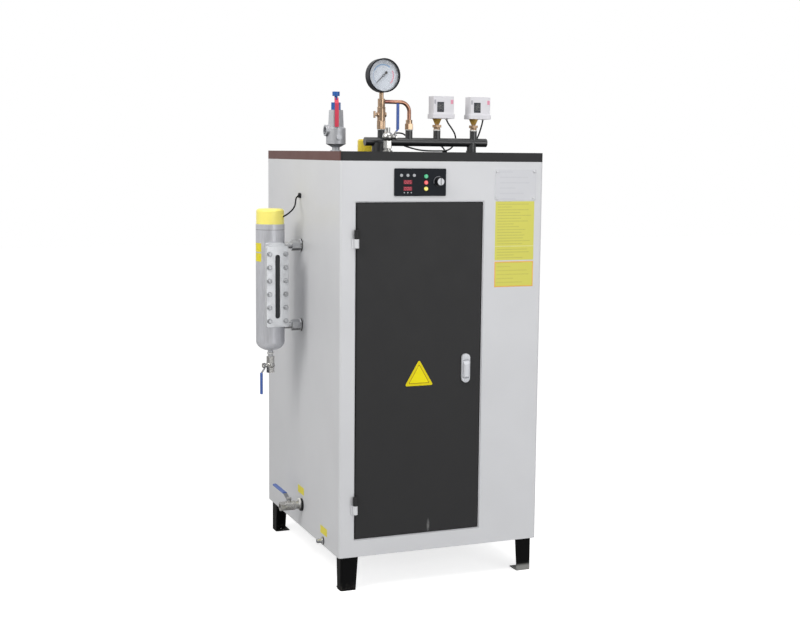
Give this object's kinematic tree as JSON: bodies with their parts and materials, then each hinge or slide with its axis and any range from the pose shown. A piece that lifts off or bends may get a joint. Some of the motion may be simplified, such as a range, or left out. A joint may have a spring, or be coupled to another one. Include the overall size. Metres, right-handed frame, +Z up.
{
  "type": "electric steam boiler",
  "caption": "Upright cabinet steam boiler with a hinged front door, side level column with sight glass, and safety valve, pressure gauge and pressure switches on the lid.",
  "frame": {"origin": "floor level below the middle of the cabinet, at the centre of the four anchor holes", "axes": "+X to the right seen from the front, +Y to the back, +Z up"},
  "size_m": [0.7945, 0.7613, 1.5865],
  "materials": {
    "light_grey_paint": "satin powder coat",
    "charcoal_paint": "fine textured powder coat",
    "black_paint": "semi-gloss paint with scuffs",
    "hinge_white": "satin paint",
    "panel_black": "glossy overlay",
    "display_red": "lit segments behind a dark window",
    "lamp_green": "moulded lens",
    "lamp_red": "moulded lens",
    "lamp_yellow": "moulded lens",
    "light_white": "moulded lens",
    "knob_silver": "turned",
    "jacket_silver": "sheet jacket over insulation",
    "heater_steel": "turned",
    "column_steel": "satin",
    "yellow_plastic": "moulded",
    "glass_dark": "thick reflex glass",
    "pipe_steel": "satin",
    "valve_nickel": "nickel plate",
    "lever_blue": "dipped sleeve",
    "rubber_black": "matt",
    "safety_silver": "cast and turned",
    "safety_blue": "moulded",
    "safety_red": "dipped",
    "black_pipe": "painted pipe",
    "brass": "machined",
    "gauge_black": "enamel",
    "dial_white": "printed dial",
    "needle_black": "matt",
    "glass_clear": "clear",
    "copper": "drawn tube",
    "switch_white": "moulded",
    "window_dark": "smoked window",
    "cable_black": "matt sheath"
  },
  "bodies": {
    "cabinet": {"base_tray": "light_grey_paint", "left_panel": "light_grey_paint", "right_panel": "light_grey_paint", "back_panel": "light_grey_paint", "front_panel": "light_grey_paint", "top_lid": "charcoal_paint", "leg_front_left": "black_paint", "leg_front_right": "black_paint", "leg_back_left": "black_paint", "leg_back_right": "black_paint", "frame_hinge_leaves": "hinge_white", "control_panel": "panel_black", "panel_displays": "display_red", "lamp_green": "lamp_green", "lamp_red": "lamp_red", "lamp_yellow": "lamp_yellow", "panel_lights": "light_white", "boiler_vessel": "jacket_silver", "heater_cover": "heater_steel", "level_column": "column_steel", "level_cap": "yellow_plastic", "sight_frame": "column_steel", "sight_glass": "glass_dark", "level_pipes": "pipe_steel", "level_drain_valve": "valve_nickel", "level_cable": "cable_black", "cable_grommets": "rubber_black", "blowdown_valve": "valve_nickel", "water_inlet": "pipe_steel", "safety_valve": "safety_silver", "safety_cap": "safety_blue", "manifold": "black_pipe", "gauge_cock": "brass", "gauge_case": "gauge_black", "gauge_dial": "dial_white", "gauge_window": "glass_clear", "copper_tube": "copper", "copper_nut": "brass", "steam_valve": "valve_nickel", "switch_housings": "switch_white", "switch_windows": "window_dark", "switch_bellows": "brass", "switch_cable_a": "cable_black", "switch_cable_b": "cable_black", "probe_cap": "yellow_plastic", "probe_cable": "cable_black"},
    "door": {"door": "charcoal_paint", "door_hinge_leaves": "charcoal_paint", "latch_housing": "switch_white"},
    "door_handle": {"latch_handle": "switch_white"},
    "knob": {"selector_knob": "knob_silver"},
    "steam_lever": {"steam_lever": "lever_blue"},
    "blowdown_lever": {"blowdown_lever": "lever_blue"},
    "drain_lever": {"level_drain_lever": "lever_blue"},
    "cock_handle": {"gauge_cock_handle": "brass"},
    "lift_lever": {"safety_lever": "safety_red"},
    "needle": {"gauge_needle": "needle_black"}
  },
  "joints": [
    {"name": "door_hinge", "type": "hinge", "parent": "cabinet", "child": "door", "pos_m": [-0.2775, -0.379, 0.655], "axis": [0, 0, -1], "range_deg": [0, 110]},
    {"name": "handle_lift", "type": "hinge", "parent": "door", "child": "door_handle", "pos_m": [0.075, -0.375, 0.675], "axis": [-1, 0, 0], "range_deg": [0, 40]},
    {"name": "knob_turn", "type": "hinge", "parent": "cabinet", "child": "knob", "pos_m": [-0.021, -0.373, 1.213], "axis": [0, 1, 0], "range_deg": [0, 90]},
    {"name": "steam_lever_turn", "type": "hinge", "parent": "cabinet", "child": "steam_lever", "pos_m": [-0.076, -0.1, 1.344], "axis": [1, 0, 0], "range_deg": [0, 90]},
    {"name": "blowdown_lever_turn", "type": "hinge", "parent": "cabinet", "child": "blowdown_lever", "pos_m": [-0.368, -0.01, 0.178], "axis": [0, 0, 1], "range_deg": [0, 90]},
    {"name": "drain_lever_turn", "type": "hinge", "parent": "cabinet", "child": "drain_lever", "pos_m": [-0.425, 0, 0.632], "axis": [-1, 0, 0], "range_deg": [0, 90]},
    {"name": "cock_turn", "type": "hinge", "parent": "cabinet", "child": "cock_handle", "pos_m": [-0.075, -0.04, 1.414], "axis": [1, 0, 0], "range_deg": [0, 90]},
    {"name": "lift_lever_pivot", "type": "hinge", "parent": "cabinet", "child": "lift_lever", "pos_m": [-0.22863, -0.05456, 1.457], "axis": [-0.9703, 0.2419, 0], "range_deg": [0, 60]},
    {"name": "needle_sweep", "type": "hinge", "parent": "cabinet", "child": "needle", "pos_m": [-0.075, -0.058, 1.534], "axis": [0, 1, 0], "range_deg": [0, 270]}
  ]
}
